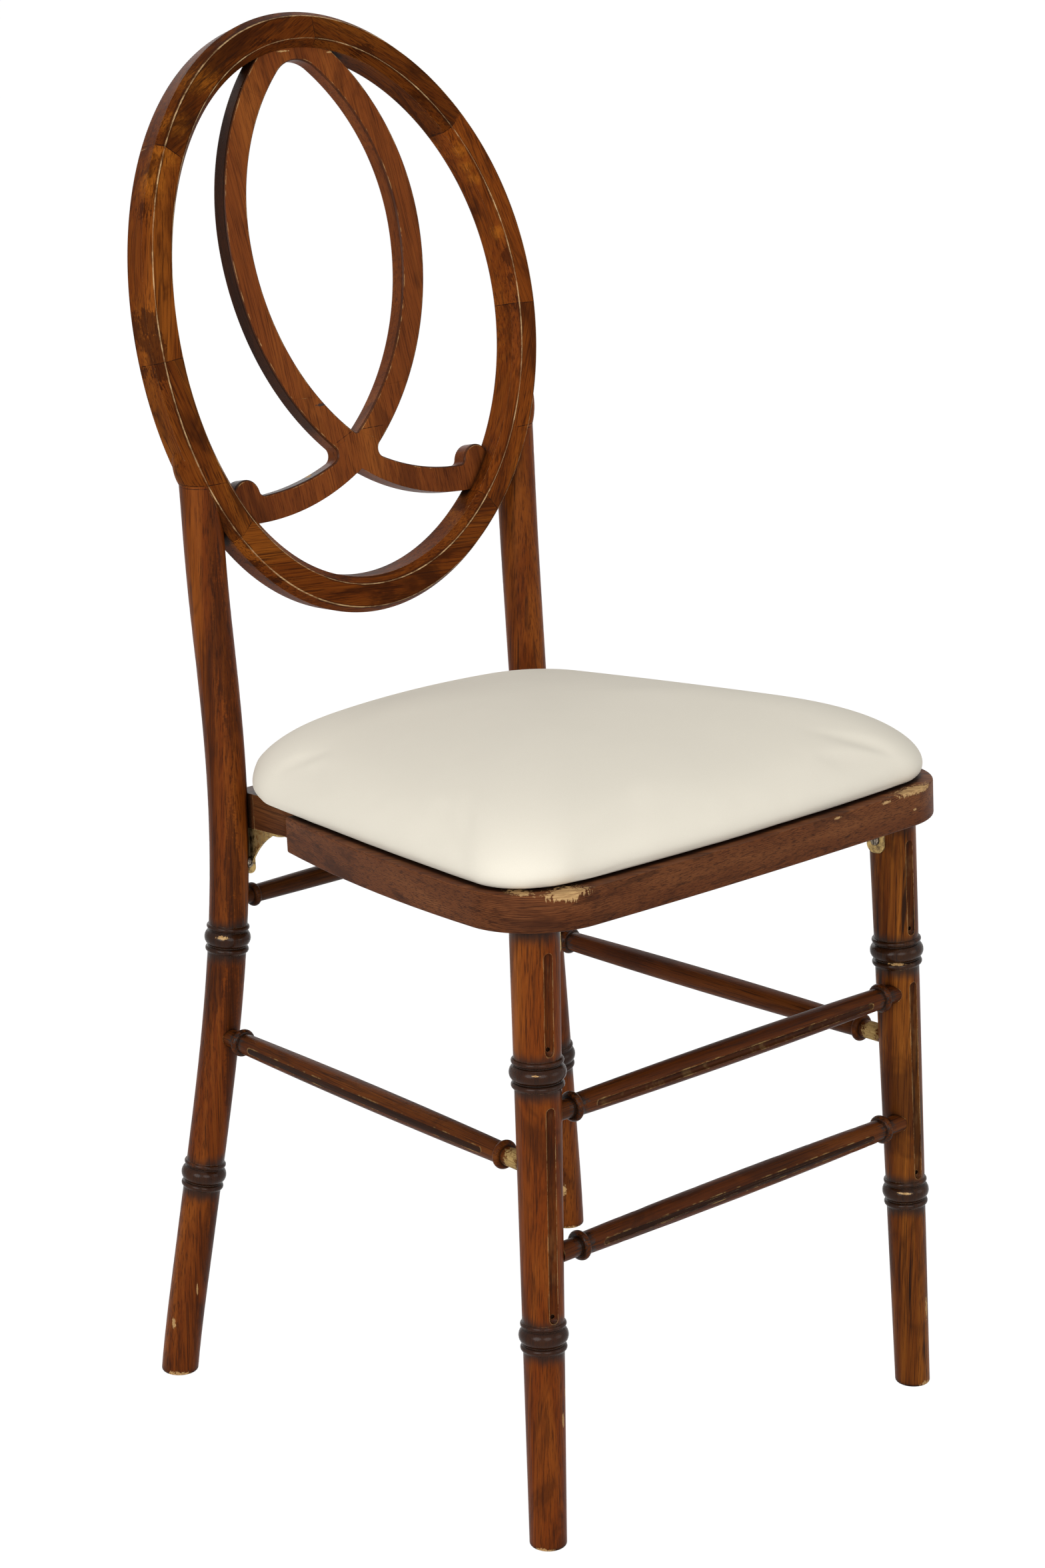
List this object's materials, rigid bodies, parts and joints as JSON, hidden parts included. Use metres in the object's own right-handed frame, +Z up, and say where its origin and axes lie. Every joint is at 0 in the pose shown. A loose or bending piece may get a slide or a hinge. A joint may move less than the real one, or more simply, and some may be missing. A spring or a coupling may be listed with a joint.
{
  "type": "dining chair",
  "caption": "Wooden dining chair with an oval bentwood back, a crossed looping splat, turned fluted legs, turned stretchers and a loose crowned seat cushion.",
  "frame": {"origin": "on the floor, under the middle of the whole chair", "axes": "+Z up, the chair faces -Y, +X is the viewer's right when looking at its front"},
  "size_m": [0.3998, 0.4801, 0.9175],
  "materials": {
    "ring_wood": "satin stained, worn to pale wood on the arrises",
    "splat_wood": "satin stained, fine grain",
    "leg_wood": "satin stained, worn on the beads",
    "stretcher_wood": "satin dark stain",
    "rail_wood": "satin dark stain",
    "band_wood": "satin dark stain, worn on the top edge",
    "panel_wood": "thin stained board",
    "dowel_wood": "bare hardwood",
    "bracket_brass": "dull pressed sheet, tarnished",
    "screw_steel": "plated, dulled",
    "grip_tape": "touch-and-close tape",
    "board_wood": "bare thin board",
    "cushion_filling": null,
    "cushion_cloth": "smooth ivory cloth"
  },
  "bodies": {
    "chair": {"oval_ring_top_left": "ring_wood", "oval_ring_top_right": "ring_wood", "oval_ring_left_upper": "ring_wood", "oval_ring_right_upper": "ring_wood", "oval_ring_left_lower": "ring_wood", "oval_ring_right_lower": "ring_wood", "oval_ring_bottom": "ring_wood", "splat_head": "splat_wood", "splat_arc_left": "splat_wood", "splat_arc_right": "splat_wood", "splat_arc_left_lower": "splat_wood", "splat_arc_right_lower": "splat_wood", "splat_cross": "splat_wood", "front_leg_left": "leg_wood", "front_leg_right": "leg_wood", "rear_leg_left": "leg_wood", "rear_leg_right": "leg_wood", "front_stretcher_upper": "stretcher_wood", "front_stretcher_lower": "stretcher_wood", "rear_stretcher": "stretcher_wood", "side_stretcher_left": "stretcher_wood", "side_stretcher_right": "stretcher_wood", "seat_rail_front": "rail_wood", "seat_rail_left": "rail_wood", "seat_rail_right": "rail_wood", "seat_rail_rear": "rail_wood", "corner_block_left": "rail_wood", "corner_block_right": "rail_wood", "seat_band": "band_wood", "seat_panel": "panel_wood", "post_dowels": "dowel_wood", "bracket_rear_left": "bracket_brass", "bracket_rear_right": "bracket_brass", "bracket_front_left": "bracket_brass", "bracket_front_right": "bracket_brass", "bracket_screws": "screw_steel", "grip_pads_seat": "grip_tape"},
    "cushion": {"cushion_cover": "cushion_cloth", "cushion_foam": "cushion_filling", "cushion_board": "board_wood", "grip_pads_cushion": "grip_tape"}
  },
  "joints": [
    {"name": "cushion_lift", "type": "slide", "parent": "chair", "child": "cushion", "axis": [0, -0.7071, 0.7071], "range_m": [0, 0.2]}
  ]
}
